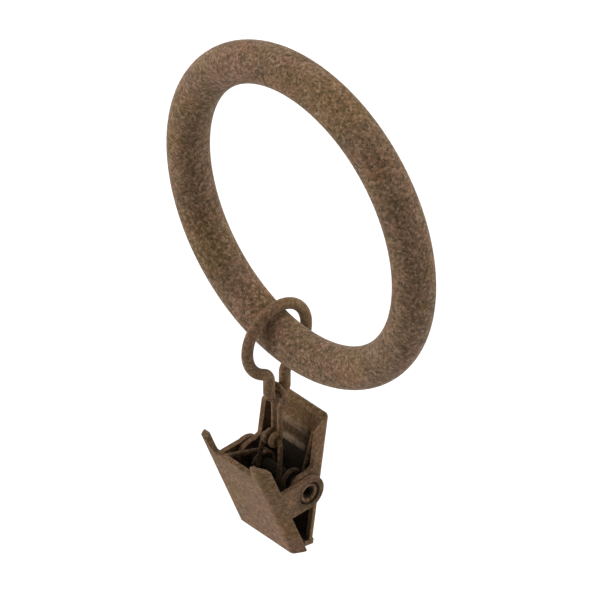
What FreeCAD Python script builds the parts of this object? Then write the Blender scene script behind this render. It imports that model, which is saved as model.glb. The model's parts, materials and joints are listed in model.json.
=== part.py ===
# Curtain ring with a hanging spring clip.
# Frame: origin at the ring's centre, +Y along the ring's axis (the rod), +Z up. Lengths in mm.

import math
import os

import FreeCAD
import Part

Vec = FreeCAD.Vector

# Ring
RING_INSIDE_DIAMETER = 38.0
RING_STOCK_DIAMETER = 5.8

# Eyelet: an open wire loop round the ring stock, with two tails that turn in towards each other
EYELET_WIRE = 1.6
EYELET_INSIDE_DIAMETER = 9.0
EYELET_PLACE_DEG = -12.0
EYELET_TAIL_LENGTH = 2.9
EYELET_NECK_RADIUS = 1.6
EYELET_TIP_BEND = 1.0
EYELET_TIP_GAP = 0.4
HANG_GAP = 0.3

# Hanger: a hairpin that hangs on the eyelet's tips, with two hooks for the spring's middle loop
HANGER_WIRE = 0.75
HANGER_LEG_SPACING = 1.2
HANGER_NECK_RADIUS = 1.2
HANGER_LENGTH = 6.9
HOOK_TURN_DEG = 285.0
SIDE_GAP = 0.25

# Clip
SHEET = 0.8
BEND_INSIDE = 0.3
CLIP_WIDTH = 13.2
SHEET_GAP = 0.25
GRIP_GAP = 0.12

FRONT_TILT_DEG = 21.6
FRONT_FLAT_WIDTH = 10.3
FRONT_SETBACK = 5.5
FRONT_TOP = 10.8
FRONT_BOTTOM = 8.6
FRONT_FLANGE = 1.6
FRONT_SCOOP_WIDTH = 7.4
FRONT_SCOOP_DEPTH = 3.0
FRONT_HORN_TIP = 0.6

BACK_TILT_DEG = -8.4
BACK_SETBACK = 3.3
BACK_TOP = 10.6
BACK_BOTTOM = 9.4
BACK_FLANGE = 2.2
BACK_HEM = 1.2
RIB_LENGTH = 4.2
RIB_RADIUS = 0.9
RIB_HEIGHTS = (4.3, 6.9)

EAR_RADIUS = 2.5
EAR_ROOT = 6.2
FRONT_EAR_LOW = 1.2

# Pivot rivet: its heads are the journals of the front jaw's ears
PIN_DIAMETER = 2.0
PIN_BORE = 1.4
PIN_HEAD_DIAMETER = 3.4
PIN_HEAD_RECESS = 0.25
PIN_HEAD_ROUND = 0.2
PIN_FLARE = 0.45
PIN_RUNNING_FIT = 0.05
PIN_HEAD_GAP = 0.05

# Torsion spring, with a middle loop that the hanger holds
SPRING_WIRE = 0.7
SPRING_PITCH = 0.78
SPRING_CLEAR = 0.25
SPRING_END_GAP = 0.15
SPRING_REACH_FRONT = 5.4
SPRING_REACH_BACK = 7.6
SPRING_LOOP_RISE = 6.0
SPRING_LOOP_LEAN_DEG = 7.5
SPRING_LOOP_INSIDE = 2.7
SPRING_LOOP_CORNER = 0.6
SEAT_GAP = 0.05
HOOK_GAP = 0.1

# Derived places
ring_radius = (RING_INSIDE_DIAMETER + RING_STOCK_DIAMETER) / 2
place = math.radians(EYELET_PLACE_DEG)
hang_x = ring_radius * math.sin(place)
stock_top = -math.sqrt((RING_INSIDE_DIAMETER / 2) ** 2 - hang_x ** 2)
loop_radius = (EYELET_INSIDE_DIAMETER + EYELET_WIRE) / 2
loop_z = stock_top + HANG_GAP - EYELET_INSIDE_DIAMETER / 2
tail_y = HANGER_WIRE / 2 + SIDE_GAP + EYELET_WIRE / 2
neck_z = loop_z - math.sqrt(
    (loop_radius + EYELET_NECK_RADIUS) ** 2 - (tail_y + EYELET_NECK_RADIUS) ** 2
)
tip_z = neck_z - EYELET_TAIL_LENGTH

hook_radius = (SPRING_WIRE + HANGER_WIRE) / 2 + HOOK_GAP
coil_radius = PIN_DIAMETER / 2 + SPRING_CLEAR + SPRING_WIRE / 2
loop_lean = math.radians(SPRING_LOOP_LEAN_DEG)
loop_up = Vec(0, math.sin(loop_lean), math.cos(loop_lean))
loop_root = Vec(0, -math.cos(loop_lean), math.sin(loop_lean)) * coil_radius
hook_centre = Vec(hang_x, -hook_radius, tip_z - HANGER_LENGTH)
pivot = hook_centre - loop_root - loop_up * SPRING_LOOP_RISE

front_ear_x = CLIP_WIDTH / 2
back_ear_x = front_ear_x - SHEET - SHEET_GAP


def round_bar(edges, diameter):
    """Sweep a round section along edges that join smoothly."""
    path = Part.Wire(edges)
    first = edges[0]
    start = first.valueAt(first.FirstParameter)
    along = first.tangentAt(first.FirstParameter)
    section = Part.Wire(Part.makeCircle(diameter / 2, start, along))
    return path.makePipeShell([section], True, False)


def mirrored_pair(half, base, normal):
    """Join half with its mirror image."""
    return half.fuse(half.mirror(base, normal)).removeSplitter()


def arc(start, middle, end):
    return Part.Arc(start, middle, end).toShape()


def line(start, end):
    return Part.makeLine(start, end)


def polygon_prism(points, direction):
    """Extrude a closed outline along direction."""
    outline = Part.makePolygon(points + [points[0]])
    return Part.Face(outline).extrude(direction)


def inner_offset(points, distance):
    """Shift an open outline in the x-y plane sideways, mitred at its corners."""
    normals = []
    for a, b in zip(points, points[1:]):
        run = (b - a).normalize()
        normals.append(Vec(-run.y, run.x, 0))
    shifted = [points[0] + normals[0] * distance]
    for point, n1, n2 in zip(points[1:], normals, normals[1:]):
        shifted.append(point + (n1 + n2) * (distance / (1 + n1.dot(n2))))
    shifted.append(points[-1] + normals[-1] * distance)
    return shifted


def across(length, radius, y, z):
    """A rod along X, centred on x = 0."""
    return Part.makeCylinder(radius, length, Vec(-length / 2, y, z), Vec(1, 0, 0))


def capsule(length, radius, y, z):
    """A rod along X with round ends."""
    rod = across(length, radius, y, z)
    for side in (-1, 1):
        rod = rod.fuse(Part.makeSphere(radius, Vec(side * length / 2, y, z)))
    return rod


def block(x0, x1, y0, y1, z0, z1):
    return Part.makeBox(x1 - x0, y1 - y0, z1 - z0, Vec(x0, y0, z0))


def edges_along_z(shape, corners):
    """The edges parallel to Z that stand on the given x-y corners."""
    found = []
    for edge in shape.Edges:
        a, b = edge.Vertexes[0].Point, edge.Vertexes[-1].Point
        upright = abs(a.x - b.x) + abs(a.y - b.y) < 1e-6
        if upright and any(math.hypot(a.x - c.x, a.y - c.y) < 1e-4 for c in corners):
            found.append(edge)
    return found


# Ring
def make_ring():
    return Part.makeTorus(ring_radius, RING_STOCK_DIAMETER / 2, Vec(0, 0, 0), Vec(0, 1, 0))


# Eyelet
def make_eyelet():
    def at(y, z):
        return Vec(hang_x, y, z)

    top = at(0, loop_z + loop_radius)
    neck = at(tail_y + EYELET_NECK_RADIUS, neck_z)
    centre = at(0, loop_z)
    shoulder = centre + (neck - centre) * (loop_radius / (neck - centre).Length)
    side = at(loop_radius, loop_z)
    tail_top = at(tail_y, neck_z)
    towards = (shoulder - neck).normalize() + (tail_top - neck).normalize()
    neck_middle = neck + towards.normalize() * EYELET_NECK_RADIUS
    bend = at(tail_y - EYELET_TIP_BEND, tip_z + EYELET_TIP_BEND)
    bend_middle = bend + at(1, -1).sub(at(0, 0)).normalize() * EYELET_TIP_BEND
    tail_end = at(tail_y, bend.z)
    tip_start = at(bend.y, tip_z)
    tip_end = at(EYELET_TIP_GAP / 2, tip_z)
    edges = [
        arc(top, side, shoulder),
        arc(shoulder, neck_middle, tail_top),
        line(tail_top, tail_end),
        arc(tail_end, bend_middle, tip_start),
        line(tip_start, tip_end),
    ]
    return mirrored_pair(round_bar(edges, EYELET_WIRE), Vec(0, 0, 0), Vec(0, 1, 0))


# Hanger
def make_hanger():
    eye_radius = EYELET_WIRE / 2 + HANG_GAP + HANGER_WIRE / 2
    leg_x = HANGER_LEG_SPACING / 2
    reach = eye_radius + HANGER_NECK_RADIUS
    neck = Vec(leg_x + HANGER_NECK_RADIUS, 0, 0)
    neck.z = -math.sqrt(reach ** 2 - neck.x ** 2)
    shoulder = neck * (eye_radius / reach)
    leg_top = Vec(leg_x, 0, neck.z)
    towards = (shoulder - neck).normalize() + (leg_top - neck).normalize()
    neck_middle = neck + towards.normalize() * HANGER_NECK_RADIUS
    hook = Vec(leg_x, -hook_radius, -HANGER_LENGTH)

    def on_hook(turn_deg):
        turn = math.radians(turn_deg)
        return hook + Vec(0, math.cos(turn), -math.sin(turn)) * hook_radius

    edges = [
        arc(Vec(0, 0, eye_radius), Vec(eye_radius, 0, 0), shoulder),
        arc(shoulder, neck_middle, leg_top),
        line(leg_top, on_hook(0)),
        arc(on_hook(0), on_hook(HOOK_TURN_DEG / 2), on_hook(HOOK_TURN_DEG)),
    ]
    hanger = mirrored_pair(round_bar(edges, HANGER_WIRE), Vec(0, 0, 0), Vec(1, 0, 0))
    hanger.translate(Vec(hang_x, 0, tip_z))
    return hanger


def tilt_and_place(shape, tilt_deg):
    """Turn a jaw, drawn upright with the pivot at the origin, to its closed place."""
    shape.rotate(Vec(0, 0, 0), Vec(1, 0, 0), tilt_deg)
    shape.translate(pivot)
    return shape


def grip_trim(side):
    """What stands past the middle of the mouth, on the side of the other jaw."""
    big = CLIP_WIDTH * 2
    face = pivot.y + side * GRIP_GAP / 2
    far = face - side * big
    top = pivot.z - 1.5 * EAR_RADIUS
    return block(hang_x - big, hang_x + big, min(face, far), max(face, far), top - big, top)


# Front jaw: a shallow folded channel with ears outside the back jaw's
def make_front_jaw():
    y0 = -FRONT_SETBACK
    slope = front_ear_x - FRONT_FLAT_WIDTH / 2
    half_flat = FRONT_FLAT_WIDTH / 2
    outer = [
        Vec(-front_ear_x, EAR_RADIUS, 0),
        Vec(-front_ear_x, y0 + slope, 0),
        Vec(-half_flat, y0, 0),
        Vec(half_flat, y0, 0),
        Vec(front_ear_x, y0 + slope, 0),
        Vec(front_ear_x, EAR_RADIUS, 0),
    ]
    inner = inner_offset(outer, SHEET)
    channel = polygon_prism(outer + inner[::-1], Vec(0, 0, FRONT_TOP + FRONT_BOTTOM))
    outside = edges_along_z(channel, outer[1:-1])
    inside = edges_along_z(channel, inner[1:-1])
    channel = channel.makeFillet(BEND_INSIDE + SHEET, outside).makeFillet(BEND_INSIDE, inside)
    channel.translate(Vec(0, 0, -FRONT_BOTTOM))

    flange_y = y0 + FRONT_FLANGE
    side_outline = [
        Vec(0, y0 - SHEET, -FRONT_BOTTOM),
        Vec(0, flange_y, -FRONT_BOTTOM),
        Vec(0, flange_y, -FRONT_EAR_LOW),
        Vec(0, 0, -EAR_RADIUS),
        Vec(0, 0, EAR_RADIUS),
        Vec(0, flange_y, EAR_ROOT / 2 + SHEET),
        Vec(0, flange_y, FRONT_TOP - FRONT_FLANGE),
        Vec(0, y0, FRONT_TOP),
        Vec(0, y0 - SHEET, FRONT_TOP),
    ]
    side = polygon_prism(side_outline, Vec(CLIP_WIDTH * 2, 0, 0))
    side.translate(Vec(-CLIP_WIDTH, 0, 0))
    jaw = channel.common(side.fuse(across(CLIP_WIDTH * 2, EAR_RADIUS, 0, 0)))

    scoop_z = FRONT_TOP - FRONT_SCOOP_DEPTH
    half_scoop = FRONT_SCOOP_WIDTH / 2
    half_open = half_flat - FRONT_HORN_TIP
    scoop_outline = [
        Vec(-half_open, y0 - SHEET, FRONT_TOP + SHEET),
        Vec(-half_open, y0 - SHEET, FRONT_TOP),
        Vec(-half_scoop, y0 - SHEET, scoop_z),
        Vec(half_scoop, y0 - SHEET, scoop_z),
        Vec(half_open, y0 - SHEET, FRONT_TOP),
        Vec(half_open, y0 - SHEET, FRONT_TOP + SHEET),
    ]
    jaw = jaw.cut(polygon_prism(scoop_outline, Vec(0, 3 * SHEET, 0)))

    lip = block(-half_flat, half_flat, y0 + SHEET / 2, 0, -FRONT_BOTTOM, SHEET - FRONT_BOTTOM)
    jaw = jaw.fuse(lip)
    hole = across(CLIP_WIDTH * 2, PIN_HEAD_DIAMETER / 2 + PIN_RUNNING_FIT, 0, 0)
    jaw = tilt_and_place(jaw.cut(hole), FRONT_TILT_DEG)
    return jaw.cut(grip_trim(-1)).removeSplitter()


# Back jaw: a longer channel with ears inside the front jaw's and two pressed finger ribs
def make_back_jaw():
    y1 = BACK_SETBACK
    outer = [
        Vec(back_ear_x, -EAR_RADIUS, 0),
        Vec(back_ear_x, y1, 0),
        Vec(-back_ear_x, y1, 0),
        Vec(-back_ear_x, -EAR_RADIUS, 0),
    ]
    inner = inner_offset(outer, SHEET)
    channel = polygon_prism(outer + inner[::-1], Vec(0, 0, BACK_TOP + BACK_BOTTOM))
    outside = edges_along_z(channel, outer[1:-1])
    inside = edges_along_z(channel, inner[1:-1])
    channel = channel.makeFillet(BEND_INSIDE + SHEET, outside).makeFillet(BEND_INSIDE, inside)
    channel.translate(Vec(0, 0, -BACK_BOTTOM))

    flange_y = y1 - BACK_FLANGE
    hem_y = y1 - BACK_HEM
    side_outline = [
        Vec(0, y1 + SHEET, -BACK_BOTTOM),
        Vec(0, hem_y, -BACK_BOTTOM),
        Vec(0, hem_y, -EAR_ROOT / 2),
        Vec(0, 0, -EAR_RADIUS),
        Vec(0, 0, EAR_RADIUS),
        Vec(0, flange_y, EAR_ROOT / 2),
        Vec(0, flange_y, BACK_TOP - BACK_FLANGE),
        Vec(0, y1, BACK_TOP),
        Vec(0, y1 + SHEET, BACK_TOP),
    ]
    side = polygon_prism(side_outline, Vec(CLIP_WIDTH * 2, 0, 0))
    side.translate(Vec(-CLIP_WIDTH, 0, 0))
    jaw = channel.common(side.fuse(across(CLIP_WIDTH * 2, EAR_RADIUS, 0, 0)))

    for height in RIB_HEIGHTS:
        jaw = jaw.fuse(capsule(RIB_LENGTH, RIB_RADIUS, y1 - SHEET / 2, height))
        jaw = jaw.cut(capsule(RIB_LENGTH, RIB_RADIUS, y1 + SHEET / 2, height))

    lip = block(-back_ear_x, back_ear_x, 0, y1 - SHEET / 2, -BACK_BOTTOM, SHEET - BACK_BOTTOM)
    jaw = jaw.fuse(lip).cut(across(CLIP_WIDTH * 2, PIN_DIAMETER / 2, 0, 0))
    jaw = tilt_and_place(jaw, BACK_TILT_DEG)
    return jaw.cut(grip_trim(1)).removeSplitter()


# Pivot rivet: tubular, with a rolled head at each end
def make_pivot_pin():
    head_x = back_ear_x + PIN_HEAD_GAP
    end_x = front_ear_x - PIN_HEAD_RECESS
    pin = across(2 * end_x, PIN_DIAMETER / 2, 0, 0)
    for side in (-1, 1):
        base = Vec(side * head_x, 0, 0)
        head = Part.makeCylinder(PIN_HEAD_DIAMETER / 2, end_x - head_x, base, Vec(side, 0, 0))
        rim = [e for e in head.Edges if abs(e.BoundBox.Center.x) > (head_x + end_x) / 2]
        rim = [e for e in rim if e.BoundBox.XLength < 1e-6]
        pin = pin.fuse(head.makeFillet(PIN_HEAD_ROUND, rim))
    pin = pin.cut(across(CLIP_WIDTH * 2, PIN_BORE / 2, 0, 0))
    for side in (-1, 1):
        flare = Part.makeCone(
            PIN_BORE / 2,
            PIN_BORE / 2 + PIN_FLARE,
            PIN_FLARE,
            Vec(side * (end_x - PIN_FLARE), 0, 0),
            Vec(side, 0, 0),
        )
        pin = pin.cut(flare)
    pin = pin.removeSplitter()
    pin.translate(pivot)
    return pin


# Spring: two coils on the rivet, a middle loop between them and a leg on each handle
def half_spring(lean, length):
    """The middle loop's right half, the right coil, and a leg that leans forward from upright."""
    rise = SPRING_PITCH / (2 * math.pi * coil_radius)
    loop_x = (SPRING_LOOP_INSIDE + SPRING_WIRE) / 2
    lean_in = math.atan(rise)
    corner = SPRING_LOOP_CORNER
    loop_leg = SPRING_LOOP_RISE - corner * (1 - math.sin(lean_in))
    first_x = loop_x + rise * loop_leg
    last_x = back_ear_x - SHEET - SPRING_END_GAP - SPRING_WIRE / 2 - rise * length
    part_turn = (lean + loop_lean) / (2 * math.pi) - 0.5
    turns = math.floor((last_x - first_x) / SPRING_PITCH - part_turn)
    height = (turns + part_turn) * SPRING_PITCH

    helix = Part.makeHelix(SPRING_PITCH, height, coil_radius).Edges[0]
    helix.rotate(Vec(0, 0, 0), Vec(1, 1, 1), 120)
    helix.rotate(Vec(0, 0, 0), Vec(1, 0, 0), 180 - SPRING_LOOP_LEAN_DEG)
    helix.translate(Vec(first_x, 0, 0))
    coil_start = helix.valueAt(helix.FirstParameter)
    coil_end = helix.valueAt(helix.LastParameter)
    loop_side = coil_start + (loop_up - Vec(rise, 0, 0)) * loop_leg
    leg_end = coil_end + Vec(rise, -math.sin(lean), math.cos(lean)) * length

    def on_corner(angle):
        return corner_centre + (Vec(math.cos(angle), 0, 0) + loop_up * math.sin(angle)) * corner

    corner_centre = loop_side - (Vec(math.cos(lean_in), 0, 0) + loop_up * math.sin(lean_in)) * corner
    corner_middle = on_corner(math.pi / 4 + lean_in / 2)
    corner_top = on_corner(math.pi / 2)
    loop_top = Vec(0, corner_top.y, corner_top.z)
    edges = [
        line(loop_top, corner_top),
        arc(corner_top, corner_middle, loop_side),
        line(loop_side, coil_start),
        helix,
        line(coil_end, leg_end),
    ]
    return round_bar(edges, SPRING_WIRE)


def make_spring():
    wire_gap = SPRING_WIRE / 2 + SEAT_GAP
    front_y = FRONT_SETBACK - SHEET - wire_gap
    back_y = BACK_SETBACK - SHEET - wire_gap
    front_reach = math.hypot(front_y, SPRING_REACH_FRONT)
    back_reach = math.hypot(back_y, SPRING_REACH_BACK)
    front_lean = math.atan2(front_y, SPRING_REACH_FRONT) + math.asin(coil_radius / front_reach)
    front_lean += math.radians(FRONT_TILT_DEG)
    back_lean = math.asin(coil_radius / back_reach) - math.atan2(back_y, SPRING_REACH_BACK)
    back_lean += math.radians(BACK_TILT_DEG)
    front_length = math.sqrt(front_reach ** 2 - coil_radius ** 2)
    back_length = math.sqrt(back_reach ** 2 - coil_radius ** 2)
    front = half_spring(front_lean, front_length).mirror(Vec(0, 0, 0), Vec(1, 0, 0))
    back = half_spring(back_lean, back_length)
    spring = front.fuse(back).removeSplitter()
    spring.translate(pivot)
    return spring


os.makedirs("parts", exist_ok=True)
make_ring().exportStep("parts/ring.step")
make_eyelet().exportStep("parts/eyelet.step")
make_hanger().exportStep("parts/hanger.step")
make_back_jaw().exportStep("parts/back_jaw.step")
make_front_jaw().exportStep("parts/front_jaw.step")
make_pivot_pin().exportStep("parts/pivot_pin.step")
make_spring().exportStep("parts/spring.step")
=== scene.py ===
# Curtain ring with a hanging spring clip: materials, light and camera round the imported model.

import json
import math

import bpy
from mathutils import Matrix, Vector


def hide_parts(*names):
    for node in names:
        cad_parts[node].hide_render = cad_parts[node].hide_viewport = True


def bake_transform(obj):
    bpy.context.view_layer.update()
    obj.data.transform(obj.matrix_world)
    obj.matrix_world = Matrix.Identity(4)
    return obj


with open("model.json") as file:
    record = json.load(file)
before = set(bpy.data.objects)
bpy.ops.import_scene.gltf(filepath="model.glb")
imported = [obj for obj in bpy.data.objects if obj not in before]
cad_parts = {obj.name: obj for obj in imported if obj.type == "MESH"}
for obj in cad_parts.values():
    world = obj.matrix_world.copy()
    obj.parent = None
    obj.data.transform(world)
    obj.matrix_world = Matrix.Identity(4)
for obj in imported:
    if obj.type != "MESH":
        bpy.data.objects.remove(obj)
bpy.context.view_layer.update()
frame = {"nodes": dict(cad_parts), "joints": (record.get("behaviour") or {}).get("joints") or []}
nodes = frame["nodes"]

scene = bpy.context.scene
scene.view_settings.view_transform = "Standard"

jaw_joint = next(j for j in frame["joints"] if j["name"] == "jaw_open")
PIVOT = Vector(jaw_joint["pos_m"])

# Camera: the photograph's viewing angle
AZIMUTH_DEG = 47.5
ELEVATION_DEG = 36.4
LENS_MM = 600.0
SENSOR_MM = 36.0
OBJECT_SHARE = 0.86

# Lamps: turn from the camera and elevation in degrees, and power in watts
LAMPS = {
    "left_box": (-85.0, 14.0, 23.5),
    "right_box": (95.0, 25.0, 18.5),
    "top_box": (180.0, 75.0, 24.0),
}
LAMP_DISTANCE = 2.0
LAMP_SIZE = 1.25
WORLD_STRENGTH = 0.20
WHITE = (1, 1, 1, 1)

# Floor: its grey as it lights the object, and its grey and glow as the camera sees it
FLOOR_HEIGHT = -0.15
FLOOR_SIZE = 8.0
FLOOR_GREY = (0.82, 0.82, 0.82, 1)
FLOOR_SEEN_GREY = (0.40, 0.40, 0.40, 1)
FLOOR_SEEN_GLOW = 0.75

# Coat colours, linear
OLIVE = (0.058, 0.039, 0.015, 1)
BROWN = (0.140, 0.083, 0.043, 1)
RUST = (0.205, 0.110, 0.054, 1)
TAN = (0.310, 0.220, 0.145, 1)
# Worn edges, and the painted highlights on the finger ribs
WORN_AND_HIGHLIGHT = (0.310, 0.225, 0.150, 1)
# Painted shade for the clip's hollows, the rivet's bore and rim, and the darker ring round the
# ear's rivet hole
PAINTED_SHADE = (0.009, 0.006, 0.003, 1)

# Tints of the coat's broad drifts
GOLDEN = (1.03, 1.02, 0.84, 1)
ROSY = (1.08, 0.99, 1.06, 1)
DARK = (0.86, 0.87, 0.84, 1)

# A range for Tree.smooth holds two values and, where they don't become 0 and 1, what they become.
# Scales of textures are per metre, and lengths are in metres.

# Speckle: a cloud, coarse grains and fine grains, with their shares
CLOUD_NOISE = {"scale": 1900.0, "detail": 4.0, "roughness": 0.70}
CLOUD_SHARE = 0.54
COARSE_SCALE = 3100.0
COARSE_SHARE = 0.30
FINE_SCALE = 7300.0
FINE_SHARE = 0.16
JOG_SCALE = 5200.0
JOG_REACH = 0.00036
SPECKLE_STOPS = ((0.26, OLIVE), (0.43, BROWN), (0.57, RUST), (0.78, TAN))

# Drifts: each tint and the scale of its patches
DRIFTS = ((GOLDEN, 110.0), (ROSY, 163.0), (DARK, 287.0))
DRIFT_ROUGHNESS = 0.55
DRIFT_RANGE = (0.47, 0.64)

# Worn edges, and painted highlights on the ribs
EDGE_RADIUS = 0.00028
EDGE_SAMPLES = 6
EDGE_RANGE = (0.99, 0.82)
EDGE_RUB = (0.40, 0.60, 0.15, 0.65)
RIB_HIGHLIGHT_NOISE = {"scale": 700.0, "detail": 3.0, "roughness": 0.6}
RIB_HIGHLIGHT_RANGE = (0.35, 0.62, 0.20, 0.85)

# Gloss, sheen and grit
ROUGHNESS_RANGE = (0.25, 0.80, 0.85, 0.65)
# Roughness added where shade is painted
PAINTED_SHADE_ROUGHNESS = 0.2
SHEEN_WEIGHT = 0.10
SHEEN_ROUGHNESS = 0.45
SHEEN_TINT = (1.0, 0.90, 0.78, 1)
GRIT_STRENGTH = 0.6
GRIT_HEIGHT = 0.00016
JAW_FINISH = {"speckle": 0.85, "shine": 0.12}

# Places on the clip, from the pivot
INSIDE_HALF_WIDTH = 0.0048
FRONT_HALF_WIDTH = 0.0058
BACK_TILT_DEG = -8.4
BACK_INNER_FACE = 0.0025
RIB_FOOT_HEIGHT = 0.0032
EAR_EDGE_RADIUS = 0.0030
EAR_HOLE_RADIUS = 0.00175
RIVET_BORE_RADIUS = 0.00095
RIVET_RIM_RADIUS = 0.00140

# Painted shade, and a darker ring round the ear's rivet hole, by distance along the rivet,
# distance from its axis, and height above it
SIDE_FADE = 0.0003
BETWEEN_EARS = (INSIDE_HALF_WIDTH + 0.0002, INSIDE_HALF_WIDTH - 0.0002)
ROUND_RIVET = (0.0070, 0.0030)
BELOW_RIVET = (-0.0010, -0.0040, 0.0, 0.95)
FACE_SHADE = (0.0085, 0.0020, 0.10, 1.0)
FACE_NEAR_LIP = (-0.0030, -0.0060, 1.0, 0.95)
LIP_SHADE = (-0.0050, -0.0065, 0.0, 0.9)
EAR_DARKENING = (EAR_EDGE_RADIUS, EAR_HOLE_RADIUS, 0.0, 0.45)
BORE_SHADE = (RIVET_BORE_RADIUS + 0.0001, RIVET_BORE_RADIUS - 0.0001)
RIM_SHADOW = (RIVET_RIM_RADIUS - 0.0001, RIVET_RIM_RADIUS + 0.0001)

# Painted shade by where a face looks
LOOKS_IN = (0.35, 0.75)
LOOKS_UP = (0.55, 0.85)
LOOKS_NOT_OUT = (-0.60, -0.20)
LOOKS_NOT_DOWN = (-0.75, -0.35)

# Painted highlights on the finger ribs
BETWEEN_FLANGES = (0.0034, 0.0022)
RIB_RISE = (BACK_INNER_FACE - 0.00010, BACK_INNER_FACE - 0.00045)
RIB_FOOT = (RIB_FOOT_HEIGHT - 0.0003, RIB_FOOT_HEIGHT + 0.0003)

# Rounding of the sheet's edges
ROUNDING = 0.00015
ROUNDING_SEGMENTS = 2
ROUNDED_ANGLE_DEG = 35
FLAT_ANGLE_DEG = 0.5
WELD_DISTANCE = 1e-6


class Tree:
    """Adds and links shader nodes."""

    def __init__(self, tree):
        self.tree = tree

    def add(self, kind, inputs=None, **settings):
        node = self.tree.nodes.new(kind)
        for key, value in settings.items():
            setattr(node, key, value)
        for key, value in (inputs or {}).items():
            self.feed(node.inputs[key], value)
        return node

    def feed(self, socket, value):
        if isinstance(value, bpy.types.NodeSocket):
            self.tree.links.new(value, socket)
        else:
            socket.default_value = value

    def math(self, operation, a, b=0.0, clamp=False):
        node = self.add("ShaderNodeMath", {0: a, 1: b}, operation=operation, use_clamp=clamp)
        return node.outputs[0]

    def fold(self, operation, first, *others):
        """Combine several values with one operation."""
        for other in others:
            first = self.math(operation, first, other)
        return first

    def vector(self, operation, *values, output="Vector"):
        inputs = dict(enumerate(values))
        return self.add("ShaderNodeVectorMath", inputs, operation=operation).outputs[output]

    def split(self, vector):
        return self.add("ShaderNodeSeparateXYZ", {"Vector": vector}).outputs

    def smooth(self, value, low, high, to_low=0.0, to_high=1.0):
        """Carry low to high over to another range, with soft ends."""
        inputs = {"Value": value, "From Min": low, "From Max": high}
        inputs.update({"To Min": to_low, "To Max": to_high})
        node = self.add("ShaderNodeMapRange", inputs, interpolation_type="SMOOTHSTEP")
        return node.outputs["Result"]

    def stretch(self, value, to_low, to_high):
        """Carry 0 to 1 over to another range."""
        inputs = {"Value": value, "To Min": to_low, "To Max": to_high}
        return self.add("ShaderNodeMapRange", inputs).outputs["Result"]

    def mix(self, factor, a, b, blend="MIX"):
        node = self.add("ShaderNodeMix", data_type="RGBA", blend_type=blend)
        self.feed(node.inputs["Factor"], factor)
        self.feed(node.inputs[6], a)
        self.feed(node.inputs[7], b)
        return node.outputs[2]

    def noise(self, place, scale, detail=2.0, roughness=0.5):
        inputs = {"Vector": place, "Scale": scale, "Detail": detail, "Roughness": roughness}
        return self.add("ShaderNodeTexNoise", inputs).outputs["Fac"]

    def jog(self, place, scale, reach):
        """Shift places unevenly, so that grains get rough outlines."""
        shift = self.add("ShaderNodeTexNoise", {"Vector": place, "Scale": scale}).outputs["Color"]
        centred = self.vector("SUBTRACT", shift, (0.5, 0.5, 0.5))
        return self.vector("MULTIPLY_ADD", centred, (reach, reach, reach), place)

    def grains(self, place, scale):
        """A random value for each grain."""
        cells = self.add("ShaderNodeTexVoronoi", {"Vector": place, "Scale": scale})
        parts = self.add("ShaderNodeSeparateColor", {"Color": cells.outputs["Color"]})
        return parts.outputs["Red"]

    def ramp(self, value, stops):
        node = self.add("ShaderNodeValToRGB", {"Fac": value})
        points = node.color_ramp.elements
        while len(points) < len(stops):
            points.new(0.5)
        for point, (position, colour) in zip(points, stops):
            point.position = position
            point.color = colour
        return node.outputs["Color"]


# Painted shade and painted highlights: each function gives how much of either a point gets
def from_pivot(t, place):
    """Distance along the rivet from its middle, distance from its axis, and height above it."""
    parts = t.split(t.vector("SUBTRACT", place, PIVOT))
    along = t.math("ABSOLUTE", parts["X"])
    squares = t.math("ADD", t.math("POWER", parts["Y"], 2.0), t.math("POWER", parts["Z"], 2.0))
    return along, t.math("SQRT", squares), parts["Z"]


def inside_shade(t, place):
    """Painted shade between the ears, round the rivet and below it."""
    along, radius, height = from_pivot(t, place)
    deep = t.math("MAXIMUM", t.smooth(radius, *ROUND_RIVET), t.smooth(height, *BELOW_RIVET))
    return t.math("MULTIPLY", deep, t.smooth(along, *BETWEEN_EARS))


def jaw_shade(inner, half_width):
    """Painted shade for a jaw whose inner face looks along Y towards inner, between its two sides:
    on the inner face, in the hollow and on the lips' upward faces, with a darker ring round the
    ear's rivet hole.
    """

    def shade_mask(t, place):
        along, radius, height = from_pivot(t, place)
        look = t.split(t.add("ShaderNodeTexCoord").outputs["Normal"])
        inward = t.math("MULTIPLY", look["Y"], inner)
        face = t.fold(
            "MULTIPLY",
            t.smooth(inward, *LOOKS_IN),
            t.smooth(height, *FACE_SHADE),
            t.smooth(along, half_width, half_width - SIDE_FADE),
            t.smooth(height, *FACE_NEAR_LIP),
        )
        hollow = t.fold(
            "MULTIPLY",
            inside_shade(t, place),
            t.smooth(inward, *LOOKS_NOT_OUT),
            t.smooth(look["Z"], *LOOKS_NOT_DOWN),
        )
        # A darker ring round the ear's rivet hole
        ear = t.smooth(radius, *EAR_DARKENING)
        lip = t.math("MULTIPLY", t.smooth(look["Z"], *LOOKS_UP), t.smooth(height, *LIP_SHADE))
        return t.fold("MAXIMUM", hollow, lip, face, ear)

    return shade_mask


def rivet_shade(t, place):
    """Painted shade in the bore, and a painted shadow in the ring round the rolled rim."""
    _, radius, _ = from_pivot(t, place)
    bore = t.smooth(radius, *BORE_SHADE)
    rim = t.smooth(radius, *RIM_SHADOW)
    return t.fold("MAXIMUM", inside_shade(t, place), bore, rim)


def rib_highlight(t, place):
    """Painted highlights on the back jaw's finger ribs, by how far they stand out of its inner
    face.
    """
    away = t.vector("SUBTRACT", place, PIVOT)
    tilt = math.radians(BACK_TILT_DEG)
    outward = Vector((0, math.cos(tilt), math.sin(tilt)))
    depth = t.vector("DOT_PRODUCT", away, outward, output="Value")
    parts = t.split(away)
    return t.fold(
        "MULTIPLY",
        t.smooth(depth, *RIB_RISE),
        t.smooth(parts["Z"], *RIB_FOOT),
        t.smooth(t.math("ABSOLUTE", parts["X"]), *BETWEEN_FLANGES),
    )


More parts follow.
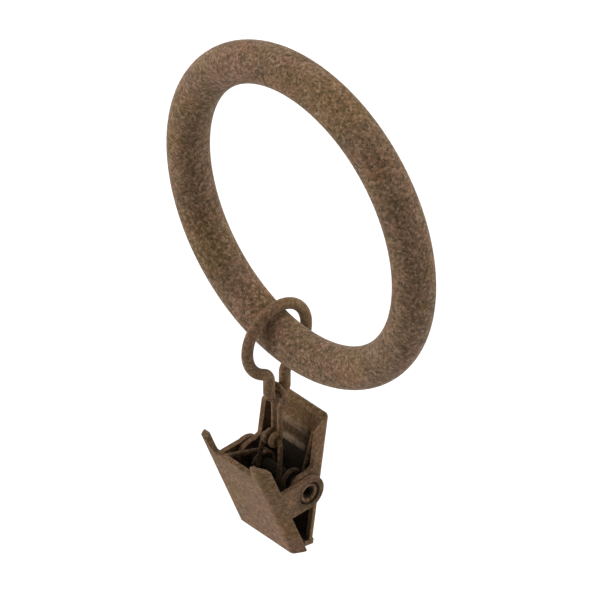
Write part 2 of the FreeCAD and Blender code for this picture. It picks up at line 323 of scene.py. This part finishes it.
def coat(name, shade_mask=None, shade_strength=0.96, highlight=None, speckle=1.25, shine=0.25):
    """Matt brown textured coat with worn edges, and painted shade and painted highlights where
    their masks are given.
    """
    material = bpy.data.materials.new(name)
    material.use_nodes = True
    t = Tree(material.node_tree)
    shader = material.node_tree.nodes["Principled BSDF"]
    shader.inputs["Specular IOR Level"].default_value = shine
    shader.inputs["Sheen Weight"].default_value = SHEEN_WEIGHT
    shader.inputs["Sheen Roughness"].default_value = SHEEN_ROUGHNESS
    shader.inputs["Sheen Tint"].default_value = SHEEN_TINT
    place = t.add("ShaderNodeTexCoord").outputs["Object"]

    # Fine speckle, from olive through brown and rust to tan
    cloud = t.noise(place, **CLOUD_NOISE)
    uneven = t.jog(place, JOG_SCALE, JOG_REACH)
    coarse = t.math("MULTIPLY", t.grains(uneven, COARSE_SCALE), COARSE_SHARE)
    fine = t.math("MULTIPLY", t.grains(uneven, FINE_SCALE), FINE_SHARE)
    grain = t.fold("ADD", coarse, fine, t.math("MULTIPLY", cloud, CLOUD_SHARE))
    shade = t.stretch(grain, 0.5 - speckle / 2, 0.5 + speckle / 2)
    colour = t.ramp(shade, SPECKLE_STOPS)

    # Broad drifts of golden, rosy and darker brown
    for tint, scale in DRIFTS:
        drift = t.smooth(t.noise(place, scale, roughness=DRIFT_ROUGHNESS), *DRIFT_RANGE)
        colour = t.mix(drift, colour, tint, "MULTIPLY")

    # Worn edges
    bevel = t.add("ShaderNodeBevel", {"Radius": EDGE_RADIUS}, samples=EDGE_SAMPLES)
    plain = t.add("ShaderNodeNewGeometry").outputs["Normal"]
    aligned = t.vector("DOT_PRODUCT", bevel.outputs["Normal"], plain, output="Value")
    edge = t.smooth(aligned, *EDGE_RANGE)
    rubbed = t.math("MULTIPLY", edge, t.smooth(cloud, *EDGE_RUB))
    colour = t.mix(rubbed, colour, WORN_AND_HIGHLIGHT)

    # Painted shade, and painted highlights on the ribs in the worn colour
    roughness = t.smooth(grain, *ROUGHNESS_RANGE)
    if shade_mask:
        shaded = t.math("MULTIPLY", shade_mask(t, place), shade_strength)
        colour = t.mix(shaded, colour, PAINTED_SHADE)
        dull = t.math("MULTIPLY", shaded, PAINTED_SHADE_ROUGHNESS)
        roughness = t.math("ADD", roughness, dull, clamp=True)
    if highlight:
        mottled = t.smooth(t.noise(place, **RIB_HIGHLIGHT_NOISE), *RIB_HIGHLIGHT_RANGE)
        highlit = t.math("MULTIPLY", highlight(t, place), mottled)
        colour = t.mix(highlit, colour, WORN_AND_HIGHLIGHT)
    t.feed(shader.inputs["Base Color"], colour)
    t.feed(shader.inputs["Roughness"], roughness)

    # Gritty surface
    grit = {"Strength": GRIT_STRENGTH, "Distance": GRIT_HEIGHT, "Height": grain}
    t.feed(shader.inputs["Normal"], t.add("ShaderNodeBump", grit).outputs["Normal"])
    return material


def dress(piece, material):
    piece.data.materials.clear()
    piece.data.materials.append(material)


def soften(piece):
    """Round a sheet piece's edges a little, as its coat does."""
    joined = piece.modifiers.new("join", "WELD")
    joined.merge_threshold = WELD_DISTANCE
    flat = piece.modifiers.new("flat", "DECIMATE")
    flat.decimate_type = "DISSOLVE"
    flat.angle_limit = math.radians(FLAT_ANGLE_DEG)
    bevel = piece.modifiers.new("bevel", "BEVEL")
    bevel.width = ROUNDING
    bevel.segments = ROUNDING_SEGMENTS
    bevel.limit_method = "ANGLE"
    bevel.angle_limit = math.radians(ROUNDED_ANGLE_DEG)
    bevel.use_clamp_overlap = True
    piece.modifiers.new("shading", "WEIGHTED_NORMAL")


def make_twisting_spring():
    """A copy of the spring's own form, baked in place, standing in for the imported spring."""
    piece = bpy.data.objects.new("torsion_spring", nodes["spring"].data.copy())
    scene.collection.objects.link(piece)
    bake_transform(piece)
    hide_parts("spring")
    return piece


front_shade = jaw_shade(1.0, FRONT_HALF_WIDTH)
back_shade = jaw_shade(-1.0, INSIDE_HALF_WIDTH)
dress(nodes["ring"], coat("coat_ring"))
dress(nodes["eyelet"], coat("coat_eyelet", speckle=0.85))
dress(nodes["hanger"], coat("coat_hanger", inside_shade, shade_strength=0.35, speckle=0.75))
dress(nodes["front_jaw"], coat("coat_front_jaw", front_shade, **JAW_FINISH))
dress(nodes["back_jaw"], coat("coat_back_jaw", back_shade, highlight=rib_highlight, **JAW_FINISH))
dress(nodes["pivot_pin"], coat("coat_pivot_pin", rivet_shade, shade_strength=0.97, shine=0.1))
dress(make_twisting_spring(), coat("coat_spring", inside_shade, shade_strength=0.45, shine=0.15))
soften(nodes["front_jaw"])
soften(nodes["back_jaw"])


# White floor that keeps the shadow, under a white surround
def background_rays(t):
    """1 for the rays that show the background as white, and 0 for the rays that light things."""
    path = t.add("ShaderNodeLightPath").outputs
    seen = t.math("ADD", path["Is Camera Ray"], path["Is Glossy Ray"])
    return t.math("ADD", seen, path["Is Transmission Ray"], clamp=True)


def make_floor():
    bpy.ops.mesh.primitive_plane_add(size=FLOOR_SIZE, location=(0, 0, FLOOR_HEIGHT))
    floor = bpy.context.object
    floor.name = "floor"
    material = bpy.data.materials.new("floor_white")
    material.use_nodes = True
    t = Tree(material.node_tree)
    nodes_here = material.node_tree.nodes
    nodes_here.remove(nodes_here["Principled BSDF"])
    plain = t.add("ShaderNodeBsdfDiffuse", {"Color": FLOOR_GREY}).outputs[0]
    faint = t.add("ShaderNodeBsdfDiffuse", {"Color": FLOOR_SEEN_GREY}).outputs[0]
    glow = t.add("ShaderNodeEmission", {"Strength": FLOOR_SEEN_GLOW}).outputs[0]
    white = t.add("ShaderNodeAddShader", {0: faint, 1: glow}).outputs[0]
    mixed = t.add("ShaderNodeMixShader", {0: background_rays(t), 1: plain, 2: white}).outputs[0]
    t.feed(nodes_here["Material Output"].inputs["Surface"], mixed)
    floor.data.materials.append(material)


def make_world():
    world = bpy.data.worlds.new("studio")
    world.use_nodes = True
    t = Tree(world.node_tree)
    back = world.node_tree.nodes["Background"]
    back.inputs["Color"].default_value = WHITE
    t.feed(back.inputs["Strength"], t.stretch(background_rays(t), WORLD_STRENGTH, 1.0))
    scene.world = world


def towards(azimuth_deg, elevation_deg):
    """The direction from the object to a viewer at that angle."""
    azimuth = math.radians(azimuth_deg)
    elevation = math.radians(elevation_deg)
    flat = Vector((math.sin(azimuth), -math.cos(azimuth), 0))
    return flat * math.cos(elevation) + Vector((0, 0, math.sin(elevation)))


def make_lamp(name, turn_deg, elevation_deg, power, aim):
    data = bpy.data.lights.new(name, "AREA")
    data.shape = "DISK"
    data.size = LAMP_SIZE
    data.energy = power
    lamp = bpy.data.objects.new(name, data)
    scene.collection.objects.link(lamp)
    lamp.location = aim + towards(AZIMUTH_DEG + turn_deg, elevation_deg) * LAMP_DISTANCE
    lamp.rotation_euler = (aim - lamp.location).to_track_quat("-Z", "Y").to_euler()


def make_camera():
    """A long lens at the photograph's angle, with the whole object in the middle of the frame."""
    back = towards(AZIMUTH_DEG, ELEVATION_DEG)
    azimuth = math.radians(AZIMUTH_DEG)
    right = Vector((math.cos(azimuth), math.sin(azimuth), 0))
    up = back.cross(right)
    points = [v.co for node in nodes.values() for v in node.data.vertices]
    across = [p.dot(right) for p in points]
    upward = [p.dot(up) for p in points]
    depth = [p.dot(back) for p in points]
    width = max(across) - min(across)
    height = max(upward) - min(upward)
    middle = right * (max(across) + min(across)) / 2 + up * (max(upward) + min(upward)) / 2
    middle += back * (max(depth) + min(depth)) / 2
    field = max(width, height) / OBJECT_SHARE
    data = bpy.data.cameras.new("camera")
    data.lens = LENS_MM
    data.sensor_width = SENSOR_MM
    camera = bpy.data.objects.new("camera", data)
    scene.collection.objects.link(camera)
    camera.location = middle + back * (field * LENS_MM / SENSOR_MM)
    camera.rotation_euler = back.to_track_quat("Z", "Y").to_euler()
    scene.camera = camera
    return middle


middle = make_camera()
make_floor()
make_world()
for lamp_name, (turn_deg, elevation_deg, power) in LAMPS.items():
    make_lamp(lamp_name, turn_deg, elevation_deg, power, middle)
